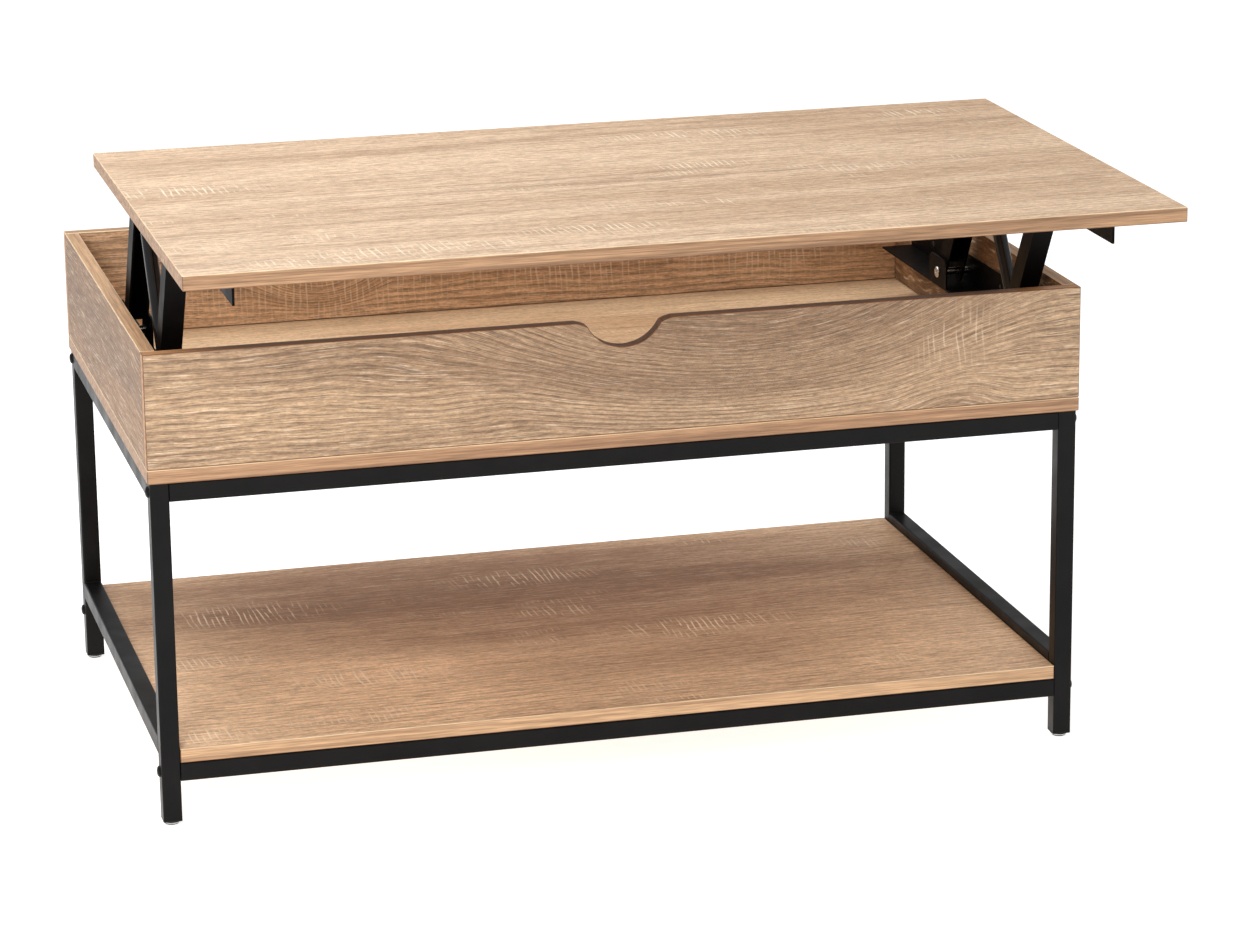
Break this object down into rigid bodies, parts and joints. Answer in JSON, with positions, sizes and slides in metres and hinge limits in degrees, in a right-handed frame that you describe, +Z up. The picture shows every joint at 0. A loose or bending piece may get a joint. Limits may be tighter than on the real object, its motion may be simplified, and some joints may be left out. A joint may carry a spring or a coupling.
{
  "type": "lift top coffee table",
  "caption": "Coffee table with a top that lifts up and forward on channel arms, over a storage box on a steel tube frame with a lower shelf.",
  "frame": {"origin": "on the floor, under the middle of the overall width and depth with the top raised", "axes": "+Z up, +X to the table's right side, -Y to its front, the side the top lifts towards"},
  "size_m": [1.0026, 0.891, 0.6504],
  "materials": {
    "oak_board": "light oak effect melamine on particle board, fine matt grain",
    "lift_top_board": "light oak effect melamine on particle board, grain along the width",
    "frame_steel": "black powder coat, fine satin texture",
    "mechanism_steel": "black painted sheet steel, semi gloss",
    "zinc_steel": "zinc plated, bright",
    "black_plastic": "moulded, matt"
  },
  "bodies": {
    "frame_and_box": {"box_bottom_board": "oak_board", "box_front_panel": "oak_board", "box_rear_panel": "oak_board", "box_left_panel": "oak_board", "box_right_panel": "oak_board", "shelf_board": "oak_board", "left_front_leg": "frame_steel", "left_rear_leg": "frame_steel", "right_front_leg": "frame_steel", "right_rear_leg": "frame_steel", "upper_front_rail": "frame_steel", "upper_rear_rail": "frame_steel", "upper_left_rail": "frame_steel", "upper_right_rail": "frame_steel", "lower_front_rail": "frame_steel", "lower_rear_rail": "frame_steel", "lower_left_rail": "frame_steel", "lower_right_rail": "frame_steel", "upper_left_front_bolt": "frame_steel", "upper_left_rear_bolt": "frame_steel", "upper_right_front_bolt": "frame_steel", "upper_right_rear_bolt": "frame_steel", "lower_left_front_bolt": "frame_steel", "lower_left_rear_bolt": "frame_steel", "lower_right_front_bolt": "frame_steel", "lower_right_rear_bolt": "frame_steel", "left_front_foot_insert": "black_plastic", "left_front_glide": "zinc_steel", "left_rear_foot_insert": "black_plastic", "left_rear_glide": "zinc_steel", "right_front_foot_insert": "black_plastic", "right_front_glide": "zinc_steel", "right_rear_foot_insert": "black_plastic", "right_rear_glide": "zinc_steel", "left_base_bracket": "mechanism_steel", "right_base_bracket": "mechanism_steel", "left_front_base_pin": "zinc_steel", "left_rear_base_pin": "zinc_steel", "right_front_base_pin": "zinc_steel", "right_rear_base_pin": "zinc_steel"},
    "left_front_arm": {"left_front_arm": "mechanism_steel"},
    "left_rear_arm": {"left_rear_arm": "mechanism_steel"},
    "left_strut_outer_tube": {"left_strut_outer_tube": "mechanism_steel"},
    "left_strut_middle_tube": {"left_strut_middle_tube": "zinc_steel"},
    "left_strut_rod": {"left_strut_rod": "zinc_steel"},
    "right_front_arm": {"right_front_arm": "mechanism_steel"},
    "right_rear_arm": {"right_rear_arm": "mechanism_steel"},
    "right_strut_outer_tube": {"right_strut_outer_tube": "mechanism_steel"},
    "right_strut_middle_tube": {"right_strut_middle_tube": "zinc_steel"},
    "right_strut_rod": {"right_strut_rod": "zinc_steel"},
    "lift_top": {"lift_top_board": "lift_top_board", "left_top_angle": "mechanism_steel", "right_top_angle": "mechanism_steel", "left_front_top_pin": "zinc_steel", "left_rear_top_pin": "zinc_steel", "right_front_top_pin": "zinc_steel", "right_rear_top_pin": "zinc_steel"}
  },
  "joints": [
    {"name": "top_lift", "type": "hinge", "parent": "frame_and_box", "child": "right_front_arm", "pos_m": [0, -0.05955, 0.454], "axis": [1, 0, 0], "range_deg": [-111.5, 0]},
    {"name": "right_rear_arm_pivot", "type": "hinge", "parent": "frame_and_box", "child": "right_rear_arm", "pos_m": [0, 0.16045, 0.454], "axis": [1, 0, 0], "range_deg": [-111.5, 0]},
    {"name": "left_front_arm_pivot", "type": "hinge", "parent": "frame_and_box", "child": "left_front_arm", "pos_m": [0, -0.05955, 0.454], "axis": [1, 0, 0], "range_deg": [-111.5, 0]},
    {"name": "left_rear_arm_pivot", "type": "hinge", "parent": "frame_and_box", "child": "left_rear_arm", "pos_m": [0, 0.16045, 0.454], "axis": [1, 0, 0], "range_deg": [-111.5, 0]},
    {"name": "top_level", "type": "hinge", "parent": "right_front_arm", "child": "lift_top", "pos_m": [0, -0.16039, 0.61856], "axis": [1, 0, 0], "range_deg": [0, 111.5]},
    {"name": "left_strut_pivot", "type": "hinge", "parent": "frame_and_box", "child": "left_strut_outer_tube", "pos_m": [0, -0.05955, 0.454], "axis": [1, 0, 0], "range_deg": [-49.42, 0]},
    {"name": "left_strut_middle_slide", "type": "slide", "parent": "left_strut_outer_tube", "child": "left_strut_middle_tube", "axis": [0, 0.5865, 0.81], "range_m": [0, 0.10415]},
    {"name": "left_strut_rod_slide", "type": "slide", "parent": "left_strut_middle_tube", "child": "left_strut_rod", "axis": [0, 0.5865, 0.81], "range_m": [0, 0.10415]},
    {"name": "right_strut_pivot", "type": "hinge", "parent": "frame_and_box", "child": "right_strut_outer_tube", "pos_m": [0, -0.05955, 0.454], "axis": [1, 0, 0], "range_deg": [-49.42, 0]},
    {"name": "right_strut_middle_slide", "type": "slide", "parent": "right_strut_outer_tube", "child": "right_strut_middle_tube", "axis": [0, 0.5865, 0.81], "range_m": [0, 0.10415]},
    {"name": "right_strut_rod_slide", "type": "slide", "parent": "right_strut_middle_tube", "child": "right_strut_rod", "axis": [0, 0.5865, 0.81], "range_m": [0, 0.10415]}
  ],
  "couplings": [
    {"joint": "right_rear_arm_pivot", "follows": "top_lift", "ratio": 1},
    {"joint": "left_front_arm_pivot", "follows": "top_lift", "ratio": 1},
    {"joint": "left_rear_arm_pivot", "follows": "top_lift", "ratio": 1},
    {"joint": "top_level", "follows": "top_lift", "ratio": -1},
    {"joint": "left_strut_pivot", "follows": "top_lift", "ratio": 0.44322},
    {"joint": "left_strut_middle_slide", "follows": "top_lift", "m_per_rad": -0.05351},
    {"joint": "left_strut_rod_slide", "follows": "top_lift", "m_per_rad": -0.05351},
    {"joint": "right_strut_pivot", "follows": "top_lift", "ratio": 0.44322},
    {"joint": "right_strut_middle_slide", "follows": "top_lift", "m_per_rad": -0.05351},
    {"joint": "right_strut_rod_slide", "follows": "top_lift", "m_per_rad": -0.05351}
  ]
}
